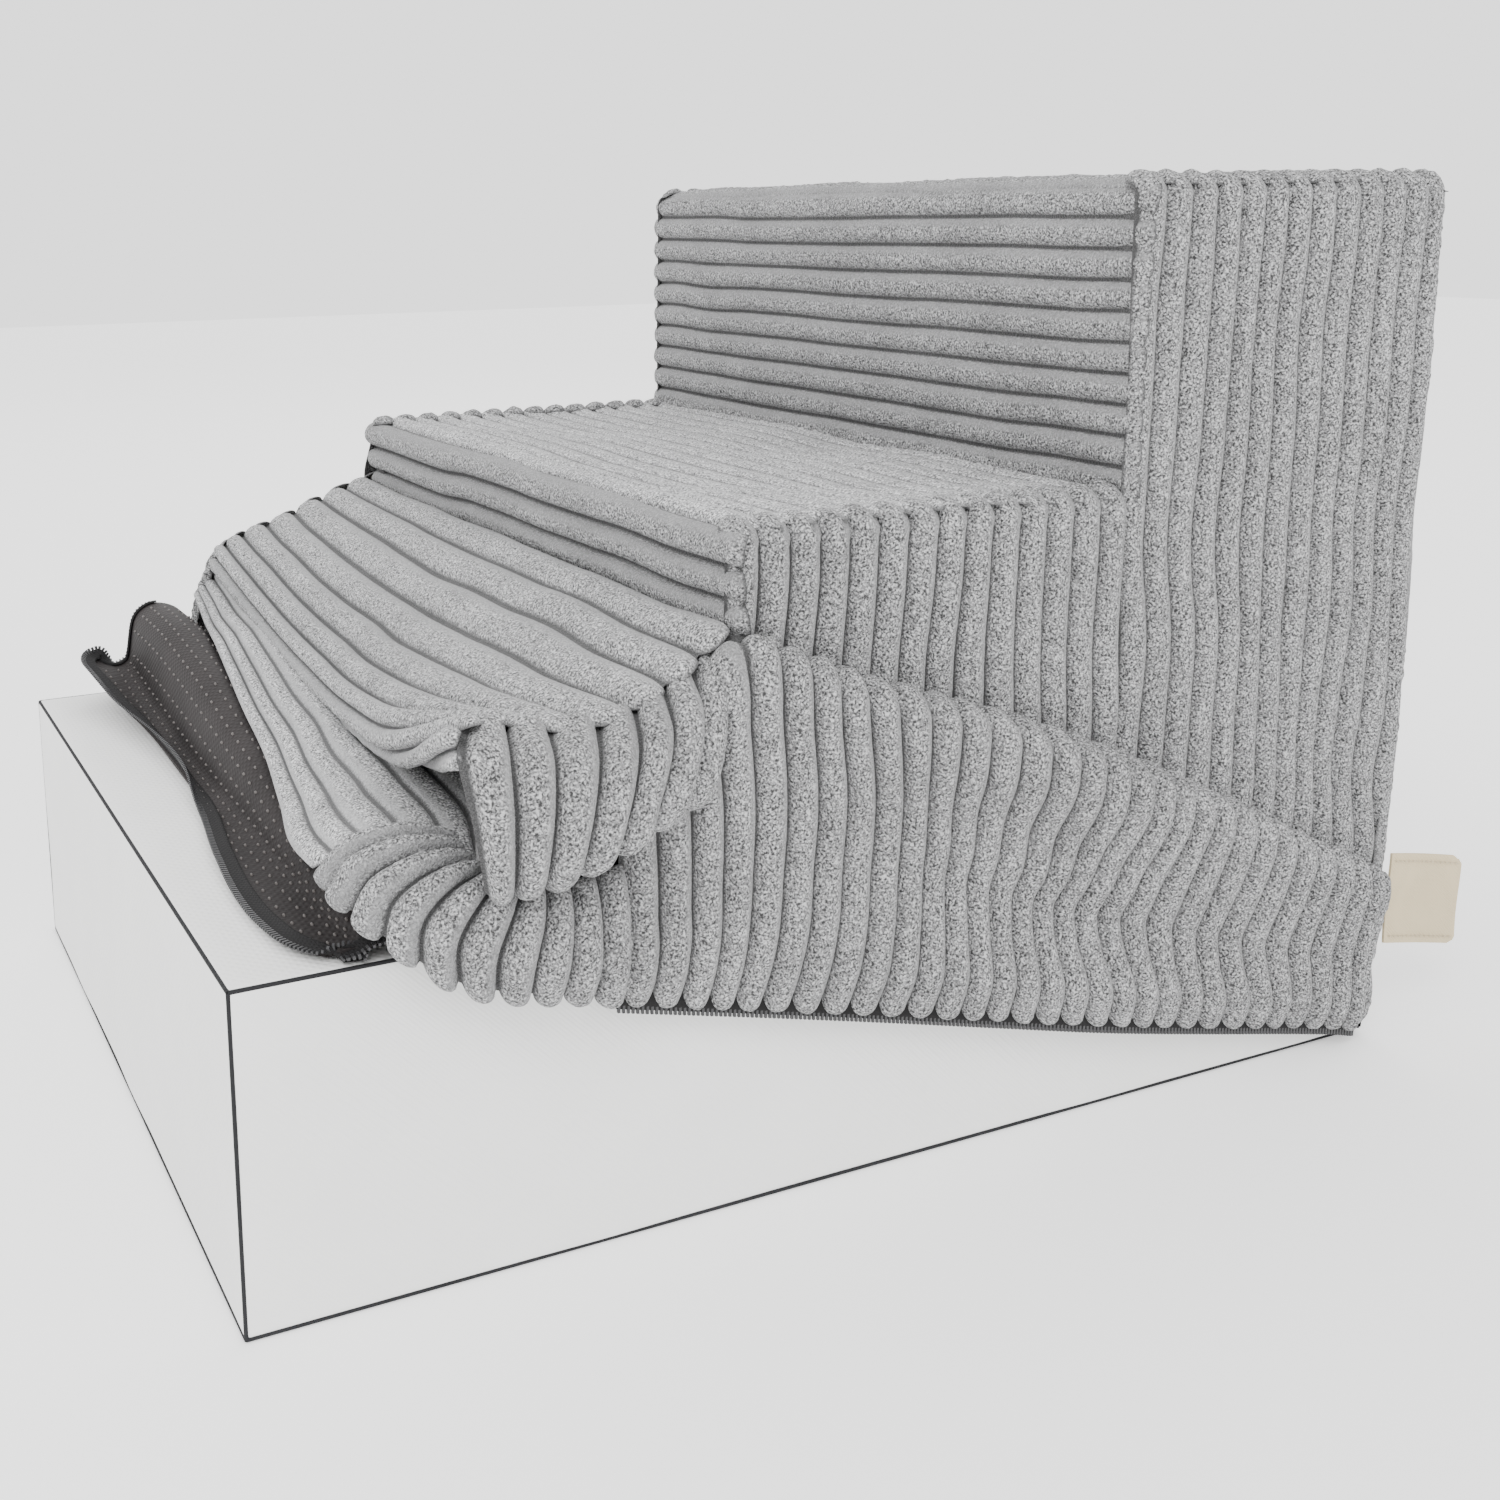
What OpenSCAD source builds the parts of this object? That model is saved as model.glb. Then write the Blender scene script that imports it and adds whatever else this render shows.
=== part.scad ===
// Three-step foam pet stair with a slack ribbed plush cover and a pull-out bottom block.
// Millimetres. +X to the rear, +Z up, -Y is the near side. The block stands on z = 0.

/* [Stair] */
// Width of the cover across the steps
stair_w = 400; // [340:10:460]
// Height of the top tread above the floor
stair_h = 396; // [380:4:440]
// Depth of the top tread
top_tread = 170; // [150:5:190]
// Depth of the middle tread
middle_tread = 182; // [170:4:190]
// Height of the top riser
top_riser = 122; // [110:2:130]
// Height of the middle riser that is still flat above the tuck
middle_riser = 46; // [36:2:52]

/* [Cover] */
// Thickness of the ribbed plush
plush_t = 8; // [6:0.5:9]
// Distance of the sagging front tier ahead of the middle riser
slack_run = 92; // [84:2:100]
// Drop of the lower tread along that distance
slack_drop = 34; // [26:2:38]
// How far the side folds stand out
fold_out = 14; // [8:1:20]
// How far the near front belly stands out
belly_out = 34; // [24:2:40]

/* [Bottom block] */
// Length of the pull-out block
block_l = 528; // [524:2:540]
// Width of the pull-out block
block_w = 400; // [384:2:400]
// Height of the pull-out block
block_h = 132; // [120:2:132]
// Thickness of the liner cloth
liner_t = 1.2; // [0.8:0.2:1.6]
// Side of the edge piping
piping_t = 2.6; // [2:0.2:3]

/* [Base and zipper] */
// Thickness of the base sheet
base_t = 2.6; // [2:0.2:3]
// Height of the wave in the base sheet
wave_h = 40; // [24:2:42]
// Length of the turn-up lip ahead of the wave
lip_l = 20; // [14:1:22]
// Width of the zipper tape
tape_w = 9; // [7:1:11]
// Pitch of the zipper teeth
tooth_pitch = 4; // [3:0.5:6]
// Length of the pull tab
pull_l = 24; // [16:1:30]

/* [Tag] */
// Free length of the sewn tag
tag_l = 50; // [30:1:54]
// Height of the sewn tag
tag_h = 44; // [34:1:50]

/* [Hidden] */
$fn = 24;
gap = 0.4;
x_front = -block_l - 13;
x_shift = -(x_front + tag_l) / 2;
block_y = plush_t + 0.6;
far_y = block_y + block_w + 1;
y_shift = -(far_y + plush_t + fold_out - belly_out) / 2;
middle_z = stair_h - top_riser;
x_mid = -top_tread - middle_tread;
base_z = block_h + gap;
base_top = base_z + base_t;
tuck_z = middle_z - middle_riser;
tier_x = x_mid - slack_run;
tier_z = tuck_z - slack_drop;
wave_x = tier_x - 36;
wave_half = 13;
lip_x = wave_x - wave_half - 0.5;
skirt_front_z = 106;
skirt_rear_z = 12;
skirt_front_x = x_mid - 46;
fold_front_z = 232;
fold_rear_z = 84;
belly_x = tier_x - 24;
corner_y = 92;
tape_t = 1.4;
base_far_y = stair_w - plush_t - 3;
seat_z = 5;
slider_y = stair_w * 0.24;

// moves the work frame (rear face at x = 0, near face at y = 0) to the part frame
module place() {
  translate([x_shift, y_shift, 0]) children();
}

// box between two corners
module span(a, b) {
  translate(a) cube(b - a);
}

// side profile extruded across y0..y1
module slab(y0, y1, points) {
  translate([0, y1, 0]) rotate([90, 0, 0]) linear_extrude(y1 - y0) polygon(points);
}

// box of the block drawn in by d on every side
module block_box(d) {
  span([x_front + d, block_y + d, d], [x_front + block_l - d, block_y + block_w - d, block_h - d]);
}

// the twelve edges of the block as square bars of side t
module block_edges(t) {
  x1 = x_front + block_l;
  y1 = block_y + block_w;
  for (y = [block_y, y1 - t], z = [0, block_h - t])
    span([x_front, y, z], [x1, y + t, z + t]);
  for (x = [x_front, x1 - t], z = [0, block_h - t])
    span([x, block_y, z], [x + t, y1, z + t]);
  for (x = [x_front, x1 - t], y = [block_y, y1 - t])
    span([x, y, 0], [x + t, y + t, block_h]);
}

// height of the skirt's lower edge and of its fold line at x
function skirt_z(x) = skirt_rear_z + (skirt_front_z - skirt_rear_z) * x / skirt_front_x;
function fold_z(x) = fold_rear_z + (fold_front_z - fold_rear_z) * x / x_mid;

module foam_top_block() {
  color("#e8e2c8") place()
    span([-top_tread + plush_t + gap, plush_t + gap, middle_z - plush_t + gap / 2],
      [-plush_t - gap, stair_w - plush_t - gap, stair_h - plush_t - gap]);
}

module foam_middle_block() {
  color("#e3dcc0") place()
    span([x_mid + plush_t + gap, plush_t + gap, base_top + gap],
      [-plush_t - gap, stair_w - plush_t - gap, middle_z - plush_t - gap / 2]);
}

module foam_bottom_block() {
  color("#e8e2c8") place() block_box(piping_t + gap);
}

module block_liner() {
  color("#f2f2f0") place() difference() {
    union() {
      block_box(0.8);
      span([x_front + 1, block_y + 1, 0], [x_front + block_l - 1, block_y + block_w - 1, 1]);
    }
    block_box(0.8 + liner_t);
    block_edges(piping_t + 0.2);
  }
}

module block_piping() {
  color("#26262a") place() block_edges(piping_t);
}

module top_tread_panel() {
  color("#b9b9bb") place()
    span([-top_tread, plush_t + gap, stair_h - plush_t], [-plush_t - gap, stair_w - plush_t - gap, stair_h]);
}

module top_riser_panel() {
  color("#b4b4b6") place()
    span([-top_tread, plush_t + gap, middle_z + gap],
      [-top_tread + plush_t, stair_w - plush_t - gap, stair_h - plush_t - gap]);
}

module middle_tread_panel() {
  color("#c4c4c6") place()
    span([x_mid, plush_t + gap, middle_z - plush_t],
      [-top_tread - gap, stair_w - plush_t - gap, middle_z]);
}

module middle_riser_panel() {
  color("#b4b4b6") place()
    span([x_mid, plush_t + gap, tuck_z - 20],
      [x_mid + plush_t, stair_w - plush_t - gap, middle_z - plush_t - gap]);
}

module lower_tread_panel() {
  x0 = x_mid - gap;
  color("#bcbcbe") place() slab(plush_t + gap, stair_w - plush_t - gap, [
    [x0, tuck_z + 4], [x0 - 10, tuck_z + 2], [x0 - slack_run * 0.5, tuck_z - slack_drop * 0.35],
    [tier_x, tier_z + plush_t], [tier_x - 22, tier_z - 8], [tier_x - 30, tier_z - 26],
    [tier_x - 21, tier_z - 28], [tier_x - 14, tier_z - 12], [tier_x + 6, tier_z],
    [x0 - slack_run * 0.5, tuck_z - slack_drop * 0.35 - plush_t], [x0, tuck_z - 6]]);
}

module front_riser_panel() {
  x1 = tier_x - 12;
  x0 = wave_x + wave_half + 4;
  color("#c6c6c8") place() slab(corner_y + gap, stair_w - plush_t - gap, [
    [x0, base_top + gap], [x1 - 2, tier_z - 16], [x1 + 6, tier_z - 14], [x0 + plush_t, base_top + gap]]);
}

module side_panel_near() {
  color("#b2b2b4") place() {
    slab(0, plush_t, [[x_mid, middle_z], [-top_tread, middle_z], [-top_tread, stair_h], [0, stair_h],
      [0, skirt_rear_z], [skirt_front_x, skirt_front_z], [belly_x, 122], [tier_x - 10, tier_z - 20],
      [tier_x, tier_z - 8], [x_mid, tuck_z - 8]]);
    slab(-fold_out, 1, [[x_mid - 8, fold_front_z], [x_mid - 8, fold_front_z - 60],
      [0, fold_rear_z - 44], [0, fold_rear_z]]);
    slab(-fold_out - 2, 1, [[skirt_front_x, skirt_front_z], [skirt_front_x, skirt_front_z + 40],
      [0, skirt_rear_z + 22], [0, skirt_rear_z]]);
    slab(-belly_out, 1, [[x_mid - 10, fold_front_z - 30], [x_mid - 10, 124], [belly_x + 20, 112],
      [belly_x, 128], [belly_x + 6, 176], [tier_x - 4, tier_z - 12]]);
    slab(-belly_out, corner_y, [[belly_x - 20, base_top + wave_h * 0.1],
      [belly_x - 8, tier_z - 36], [belly_x + 2, tier_z - 36], [belly_x - 10, base_top + wave_h * 0.1]]);
    slab(-belly_out, 1, [[belly_x - 20, base_top + 4], [belly_x - 8, tier_z - 36],
      [belly_x + 16, tier_z - 40], [belly_x + 16, base_top + 4]]);
  }
}

module side_panel_far() {
  y0 = stair_w - plush_t;
  y1 = far_y;
  y2 = y1 + plush_t + fold_out;
  shelf = block_h + 2;
  color("#b2b2b4") place() {
    slab(y0, stair_w, [[x_mid, middle_z], [-top_tread, middle_z], [-top_tread, stair_h], [0, stair_h],
      [0, shelf], [tier_x - 20, shelf], [tier_x - 10, tier_z - 20], [tier_x, tier_z - 8],
      [x_mid, tuck_z - 8]]);
    slab(stair_w - 1, y2, [[x_mid - 8, fold_front_z], [tier_x - 16, shelf], [0, shelf], [0, shelf + 26]]);
    slab(y1, y2, [[tier_x - 16, shelf + 1], [skirt_front_x, skirt_front_z], [0, skirt_rear_z],
      [0, shelf + 1]]);
  }
}

module back_panel() {
  color("#b6b6b8") place() {
    span([-plush_t, plush_t + gap, skirt_rear_z + 2], [0, stair_w - plush_t - gap, stair_h - gap]);
    span([-plush_t, stair_w - plush_t - 1, skirt_rear_z + 2], [0, far_y - gap, block_h + 1.6]);
  }
}

// the base sheet: flat under the near corner of the cover, with a wave across the rest
module base_panel() {
  t = base_t;
  x0 = lip_x + 0.5;
  x1 = -plush_t - 6;
  color("#2e2b2c") place() {
    span([x0, block_y + 4, base_z], [x1, corner_y + 5, base_z + t]);
    slab(corner_y + 4, base_far_y, [
      [x0, base_z], [wave_x - 5, base_z + wave_h * 0.86], [wave_x, base_z + wave_h],
      [wave_x + 5, base_z + wave_h * 0.86], [x0 + 2 * wave_half, base_z + t], [x1, base_z + t],
      [x1, base_z], [x0 + 2 * wave_half - 2, base_z], [wave_x + 3, base_z + wave_h * 0.8],
      [wave_x, base_z + wave_h - t], [wave_x - 3, base_z + wave_h * 0.8], [x0 + 3, base_z]]);
  }
}

// tape along the two side margins of the base sheet behind the wave
module base_zip_tape() {
  x0 = wave_x + wave_half + 4;
  x1 = -plush_t - 6;
  color("#1c1c1e") place()
    for (y = [block_y + 2.4, base_far_y + 0.2])
      span([x0, y, base_z], [x1, y + tape_t, base_top]);
}

module base_zip_teeth() {
  x0 = wave_x + wave_half + 6;
  x1 = -plush_t - 10;
  color("#3a3a3c") place()
    for (x = [x0 : tooth_pitch * 4 : x1])
      span([x, block_y + 0.6, base_z], [x + tooth_pitch / 2, block_y + 2.2, base_top]);
}

module base_lip() {
  color("#2e2b2c") place() union() {
    span([lip_x - lip_l + 6, block_y + 4, base_z], [lip_x, base_far_y, base_top]);
    span([lip_x - lip_l, block_y + 14, base_z], [lip_x - lip_l + 6.1, base_far_y - 10, base_top]);
  }
}

module lip_zip_tape() {
  x0 = lip_x - lip_l;
  color("#1c1c1e") place()
    span([x0 - 1.6, block_y + 14, base_z], [x0 - 0.2, base_far_y - 10, base_top + 1]);
}

module lip_zip_teeth() {
  x0 = lip_x - lip_l;
  color("#3a3a3c") place()
    for (y = [block_y + 16 : tooth_pitch * 2 : base_far_y - 14])
      span([x0 - 3.4, y, base_z], [x0 - 1.8, y + tooth_pitch / 2, base_z + base_t]);
}

// tape sewn under the lower edge of the two side skirts and of the back skirt
module skirt_zip_tape() {
  y_far = far_y + 4;
  color("#1c1c1e") place() {
    for (y = [2, y_far])
      slab(y, y + tape_t, [[skirt_front_x + 4, skirt_z(skirt_front_x) - gap - 8],
        [skirt_front_x + 4, skirt_z(skirt_front_x) - gap - 8 + tape_w * 0.6],
        [-4, skirt_rear_z - gap], [-4, seat_z - 3]]);
    span([-plush_t / 2 - tape_t, plush_t + gap, seat_z], [-plush_t / 2, stair_w - plush_t - gap, skirt_rear_z + 1.6]);
  }
}

module skirt_zip_teeth() {
  x = -plush_t / 2 - tape_t / 2;
  color("#3a3a3c") place()
    for (y = [plush_t + 4 : tooth_pitch : stair_w - plush_t - 6])
      span([x - 1.2, y, seat_z - 2.4], [x + 1.2, y + tooth_pitch / 2, seat_z - 0.2]);
}

// slider around the row of teeth, parked on the near part of the back skirt
module zip_slider() {
  x = -plush_t / 2 - tape_t / 2;
  color("#8f9194") place() {
    difference() {
      span([x - 3.2, slider_y - 6, 0.6], [x + 3.2, slider_y + 6, 9.2]);
      span([x - 1.7, slider_y - 7, 2], [x + 1.7, slider_y + 7, 9.4]);
    }
    span([x + 3.1, slider_y - 4, 2.2], [x + 6.4, slider_y - 2.8, 3.6]);
    span([x + 3.1, slider_y - 4, 6.6], [x + 6.4, slider_y - 2.8, 8]);
    translate([x + 5.4, slider_y - 3.4, 2.2]) cylinder(r = 0.9, h = 5.8);
  }
}

module zip_pull_tab() {
  x = -plush_t / 2 - tape_t / 2 + 5.4;
  color("#8f9194") place() difference() {
    union() {
      translate([x, slider_y - 3.4, 3.9]) cylinder(r = 1.9, h = 2.4);
      span([x - 0.2, slider_y - 3.4, 3.9], [x + 2.2, slider_y + pull_l - 4, 6.3]);
      span([x + 0.2, slider_y + pull_l - 12, 2.6], [x + 2.2, slider_y + pull_l - 3.4, 7.6]);
    }
    translate([x, slider_y - 3.4, 1]) cylinder(r = 1.3, h = 8);
  }
}

// the tag droops a little towards its free end
module label_tag() {
  z0 = 46;
  droop = tag_l * 0.2;
  color("#d8c8a6") place()
    slab(1.2, 2.6, [[1.2, z0], [1.2, z0 + tag_h], [tag_l, z0 + tag_h - droop], [tag_l, z0 - droop]]);
}

foam_top_block();
foam_middle_block();
foam_bottom_block();
block_liner();
block_piping();
top_tread_panel();
top_riser_panel();
middle_tread_panel();
middle_riser_panel();
lower_tread_panel();
front_riser_panel();
side_panel_near();
side_panel_far();
back_panel();
base_panel();
base_zip_tape();
base_zip_teeth();
base_lip();
lip_zip_tape();
lip_zip_teeth();
skirt_zip_tape();
skirt_zip_teeth();
zip_slider();
zip_pull_tab();
label_tag();
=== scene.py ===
"""Blender scene for a three-step foam pet stair in a slack ribbed plush cover."""
import math

import bpy
import numpy as np
from mathutils import Matrix, Vector


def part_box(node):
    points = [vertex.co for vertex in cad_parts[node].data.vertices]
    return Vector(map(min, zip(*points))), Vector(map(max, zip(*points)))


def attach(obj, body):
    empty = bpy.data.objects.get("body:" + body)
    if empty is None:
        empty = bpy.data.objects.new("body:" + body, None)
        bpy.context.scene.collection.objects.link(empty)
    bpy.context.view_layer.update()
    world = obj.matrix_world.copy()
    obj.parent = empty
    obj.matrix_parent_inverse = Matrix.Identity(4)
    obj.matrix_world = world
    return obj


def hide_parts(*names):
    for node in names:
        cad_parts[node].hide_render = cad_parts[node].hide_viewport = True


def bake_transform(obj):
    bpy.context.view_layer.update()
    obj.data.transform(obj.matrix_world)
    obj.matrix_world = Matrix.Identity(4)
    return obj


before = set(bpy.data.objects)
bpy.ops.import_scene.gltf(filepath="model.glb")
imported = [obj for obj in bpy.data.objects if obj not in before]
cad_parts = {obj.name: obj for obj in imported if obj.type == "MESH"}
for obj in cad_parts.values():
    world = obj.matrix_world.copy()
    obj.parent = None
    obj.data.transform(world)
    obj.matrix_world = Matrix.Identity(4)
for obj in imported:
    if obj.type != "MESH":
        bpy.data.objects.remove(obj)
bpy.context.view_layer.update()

# Work frame in millimetres: x = 0 at the rear face, y = 0 at the near side face, z = 0 on the floor.
ORIGIN = np.array([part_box("back_panel")[1][0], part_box("top_tread_panel")[0][1] - 0.0084, 0.0])
WIDTH, TOP, MIDDLE = 400.0, 396.0, 274.0
TOP_RUN, MIDDLE_RUN = 170.0, 182.0
X_MID = -TOP_RUN - MIDDLE_RUN
BLOCK_TOP = 132.0
CREST_FRONT = 232            # height of the side fold's crest at its front end
SKIRT_REACH = 1.14           # the skirt's length as a share of the two flat tiers' depth
BASE_NEAR, BASE_WIDTH = 12, 386


# ---------------------------------------------------------------- numbers
def lattice(i, j, k, seed):
    """A repeatable value from -1 to 1 for each whole-number cell."""
    n = (i * 73856093) ^ (j * 19349663) ^ (k * 83492791) ^ (seed * 40503)
    n = (n ^ (n >> 13)) * 1274126177 & 0xFFFFFFFF
    n = (n ^ (n >> 15)) * 668265263 & 0xFFFFFFFF
    return ((n ^ (n >> 16)) & 0xFFFFFF) / float(0x7FFFFF) - 1.0


def noise(p, scale, seed=1):
    """Smooth value noise from -1 to 1 at points p (..., 3), with cells of that size."""
    q = np.asarray(p, dtype=float) / scale + 1000.0
    i = np.floor(q).astype(np.int64)
    f = q - i
    f = f * f * (3 - 2 * f)
    out = np.zeros(q.shape[:-1])
    for dx in (0, 1):
        wx = f[..., 0] if dx else 1 - f[..., 0]
        for dy in (0, 1):
            wy = f[..., 1] if dy else 1 - f[..., 1]
            for dz in (0, 1):
                wz = f[..., 2] if dz else 1 - f[..., 2]
                out += wx * wy * wz * lattice(i[..., 0] + dx, i[..., 1] + dy, i[..., 2] + dz, seed)
    return out


def spline(net, t):
    """Catmull-Rom through net (K, ..., C) at t from 0 to 1, t shaped like net[0, ..., 0]."""
    net = np.asarray(net, dtype=float)
    last = len(net) - 1
    u = np.clip(t, 0, 1) * last
    i = np.minimum(u.astype(int), last - 1)
    f = (u - i)[..., None]

    def pick(k):
        k = np.clip(k, 0, last)[None, ..., None]
        return np.take_along_axis(net, np.broadcast_to(k, (1,) + net.shape[1:]), axis=0)[0]

    p0, p1, p2, p3 = pick(i - 1), pick(i), pick(i + 1), pick(i + 2)
    p0 = np.where((i == 0)[..., None], 2 * p1 - p2, p0)
    p3 = np.where((i == last - 1)[..., None], 2 * p2 - p1, p3)
    return 0.5 * (2 * p1 + (p2 - p0) * f + (2 * p0 - 5 * p1 + 4 * p2 - p3) * f ** 2
                  + (3 * p1 - p0 - 3 * p2 + p3) * f ** 3)


def net_surface(net):
    """A surface (a, b) -> point through a net of control points net[row along a][column along b]."""
    net = np.asarray(net, dtype=float)

    def surface(a, b):
        rows = []
        for r in net:
            shaped = r.reshape((len(r),) + (1,) * a.ndim + (3,))
            rows.append(spline(np.broadcast_to(shaped, (len(r),) + a.shape + (3,)), b))
        return spline(np.stack(rows), a)
    return surface


def knots(values, t):
    """Smooth curve through evenly spaced values, at t from 0 to 1."""
    v = np.asarray(values, dtype=float)
    t = np.asarray(t, dtype=float)
    v = np.broadcast_to(v.reshape((len(v),) + (1,) * t.ndim + (1,)), (len(v),) + t.shape + (1,))
    return spline(v, t)[..., 0]


# ---------------------------------------------------------------- meshes
class Build:
    """Gathers grids of points into one mesh."""

    def __init__(self):
        self.points, self.faces, self.ridge, self.band, self.count = [], [], [], [], 0

    def grid(self, p, ridge=None, flip=False, wrap=False, band=None):
        n, m = p.shape[:2]
        index = np.arange(n * m).reshape(n, m) + self.count
        if wrap:
            index = np.concatenate([index, index[:, :1]], axis=1)
        q = np.stack([index[:-1, :-1], index[1:, :-1], index[1:, 1:], index[:-1, 1:]], axis=-1)
        if flip:
            q = q[..., ::-1]
        self.points.append(p.reshape(-1, 3))
        self.faces.append(q.reshape(-1, 4))
        self.ridge.append((np.zeros((n, m)) if ridge is None else ridge).reshape(-1))
        self.band.append((np.zeros((n, m)) if band is None else band).reshape(-1))
        self.count += n * m

    def make(self, name, material, smooth=True):
        points = np.concatenate(self.points) * 0.001 + ORIGIN
        faces = np.concatenate(self.faces)
        mesh = bpy.data.meshes.new(name)
        mesh.vertices.add(len(points))
        mesh.vertices.foreach_set("co", points.astype(np.float32).reshape(-1))
        mesh.loops.add(faces.size)
        mesh.loops.foreach_set("vertex_index", faces.astype(np.int32).reshape(-1))
        mesh.polygons.add(len(faces))
        mesh.polygons.foreach_set("loop_start", np.arange(0, faces.size, 4, dtype=np.int32))
        mesh.polygons.foreach_set("use_smooth", np.full(len(faces), smooth))
        mesh.update(calc_edges=True)
        for key, values in (("ridge", self.ridge), ("band", self.band)):
            attribute = mesh.attributes.new(key, "FLOAT", "POINT")
            attribute.data.foreach_set("value", np.concatenate(values).astype(np.float32))
        mesh.validate()
        mesh.materials.append(material)
        obj = bpy.data.objects.new(name, mesh)
        bpy.context.collection.objects.link(obj)
        return obj


def beyond(surface, a, b):
    """The surface at (a, b), carried on straight past a = 0 and a = 1."""
    inside = np.clip(a, 0, 1)
    p = surface(inside, b)
    step = 0.02
    low, high = surface(np.full_like(a, step), b), surface(np.full_like(a, 1 - step), b)
    past_low, past_high = np.minimum(a, 0)[..., None], np.maximum(a - 1, 0)[..., None]
    first, last = surface(np.zeros_like(a), b), surface(np.ones_like(a), b)
    return p + (low - first) / step * past_low + (last - high) / step * past_high


RIDGE_PART = 0.88             # share of a wale's width that stands up
BAND_PART, BAND_EASE = 0.35, 0.12  # smooth strip along one side of each wale
TIP_ROWS = 5                  # rows of points that round a wale's end


def wales(build, surface, count, step=2.0, height=5.0, ends=(4.0, 4.0), cap=7.0, flip=False, across=12,
          pile=1.0, seed=1, worn=None, wander=0.2, b_range=(0.0, 1.0)):
    """Plush wales on a surface (a along them, b across them, both 0 to 1).

    height is a wale's crown, ends how far it runs past a = 0 and a = 1, cap the length of its round
    end, across the points over its width, and wander how far it strays sideways.
    """
    v = np.linspace(0, 1, across, endpoint=False)
    b = np.concatenate([(np.arange(count)[:, None] + v).reshape(-1), [count]])
    v = np.concatenate([np.tile(v, count), [0.0]])
    middle = np.abs(v - RIDGE_PART / 2) / (RIDGE_PART / 2)
    crown = np.where(middle < 1, np.clip(1 - middle ** 2.6, 0, 1) ** 0.55, 0)
    plan = np.where(middle < 1, np.sqrt(np.clip(1 - middle ** 2, 0, 1)), 0)
    b01 = b_range[0] + (b_range[1] - b_range[0]) * b / count
    probe_a, probe_b = np.meshgrid(np.linspace(0, 1, 25), b01[::across], indexing="ij")
    probe = surface(probe_a, probe_b)
    length = np.linalg.norm(np.diff(probe, axis=0), axis=-1).sum(axis=0)
    length = np.interp(b01, b01[::across], length)
    rows = max(8, int(length.max() / step))
    u = np.linspace(0, 1, rows + 1)
    lead = (1 - np.cos(np.linspace(0, 0.5 * math.pi, TIP_ROWS + 1)))[:-1] * cap / length.max()
    u = np.concatenate([lead, u[(u > cap / length.max()) & (u < 1 - cap / length.max())], 1 - lead[::-1]])
    span = length + plan * (ends[0] + ends[1])
    s = u[:, None] * span[None, :] - plan * ends[0]
    a = s / length
    bb = np.broadcast_to(b01, a.shape)
    rough = surface(np.clip(a, 0, 1), bb)
    if wander:
        drift = wander * noise(rough, 42, seed + 9) / count
        bb = np.clip(bb + drift * (np.abs(bb - 0.5) < 0.495), min(b_range), max(b_range))
    p = beyond(surface, a, bb)
    along, side = np.gradient(p, axis=0), np.gradient(p, axis=1)
    normal = np.cross(along, side)
    size = np.linalg.norm(normal, axis=-1, keepdims=True)
    normal = normal / np.maximum(size, 1e-9)
    if flip:
        normal = -normal
    start = np.clip((s + plan * ends[0]) / cap, 0, 1)
    stop = np.clip((length + plan * ends[1] - s) / cap, 0, 1)
    rounding = np.sqrt(np.clip(1 - (1 - start) ** 2, 0, 1)) * np.sqrt(np.clip(1 - (1 - stop) ** 2, 0, 1))
    wear = np.ones(a.shape) if worn is None else worn(np.clip(a, 0, 1), bb)
    ridge = crown[None, :] * rounding
    swell = 1 + 0.10 * noise(p, 21, seed + 3)
    tuft = 0.34 * noise(p, 5.2, seed) + 0.75 * noise(p, 2.3, seed + 5)
    strip = np.clip((BAND_PART - v) / BAND_EASE, 0, 1)
    tuft = tuft * (1 - 0.7 * strip)
    h = height * wear * swell * ridge + pile * (0.10 + 0.70 * ridge) * tuft * (0.45 + 0.55 * wear)
    p = p + normal * h[..., None]
    smooth = strip * np.clip(v / 0.04, 0, 1)
    band = np.broadcast_to(smooth, a.shape) * rounding
    # the ridge attribute also picks where the plush material paints groove shade
    build.grid(p, ridge * (0.5 + 0.5 * wear), flip=not flip, band=band)


# ---------------------------------------------------------------- materials
def material(name, slot_color, rough=0.9):
    mat = bpy.data.materials.new(name)
    mat.use_nodes = True
    tree = mat.node_tree
    shader = tree.nodes["Principled BSDF"]
    shader.inputs["Base Color"].default_value = (*slot_color, 1)
    shader.inputs["Roughness"].default_value = rough
    return mat, tree, shader


def node(tree, kind, **values):
    n = tree.nodes.new(kind)
    for key, value in values.items():
        if key in n.inputs:
            n.inputs[key].default_value = value
        else:
            setattr(n, key, value)
    return n


def ramp(tree, source, stops):
    r = tree.nodes.new("ShaderNodeValToRGB")
    elements = r.color_ramp.elements
    while len(elements) < len(stops):
        elements.new(0.5)
    for e, (at, color) in zip(elements, stops):
        e.position = at
        e.color = (*color, 1)
    tree.links.new(source, r.inputs["Fac"])
    return r


def bump(tree, shader, source, strength, distance, under=None):
    b = node(tree, "ShaderNodeBump", Strength=strength, Distance=distance)
    tree.links.new(source, b.inputs["Height"])
    if under:
        tree.links.new(under.outputs["Normal"], b.inputs["Normal"])
    tree.links.new(b.outputs["Normal"], shader.inputs["Normal"])
    return b


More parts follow.
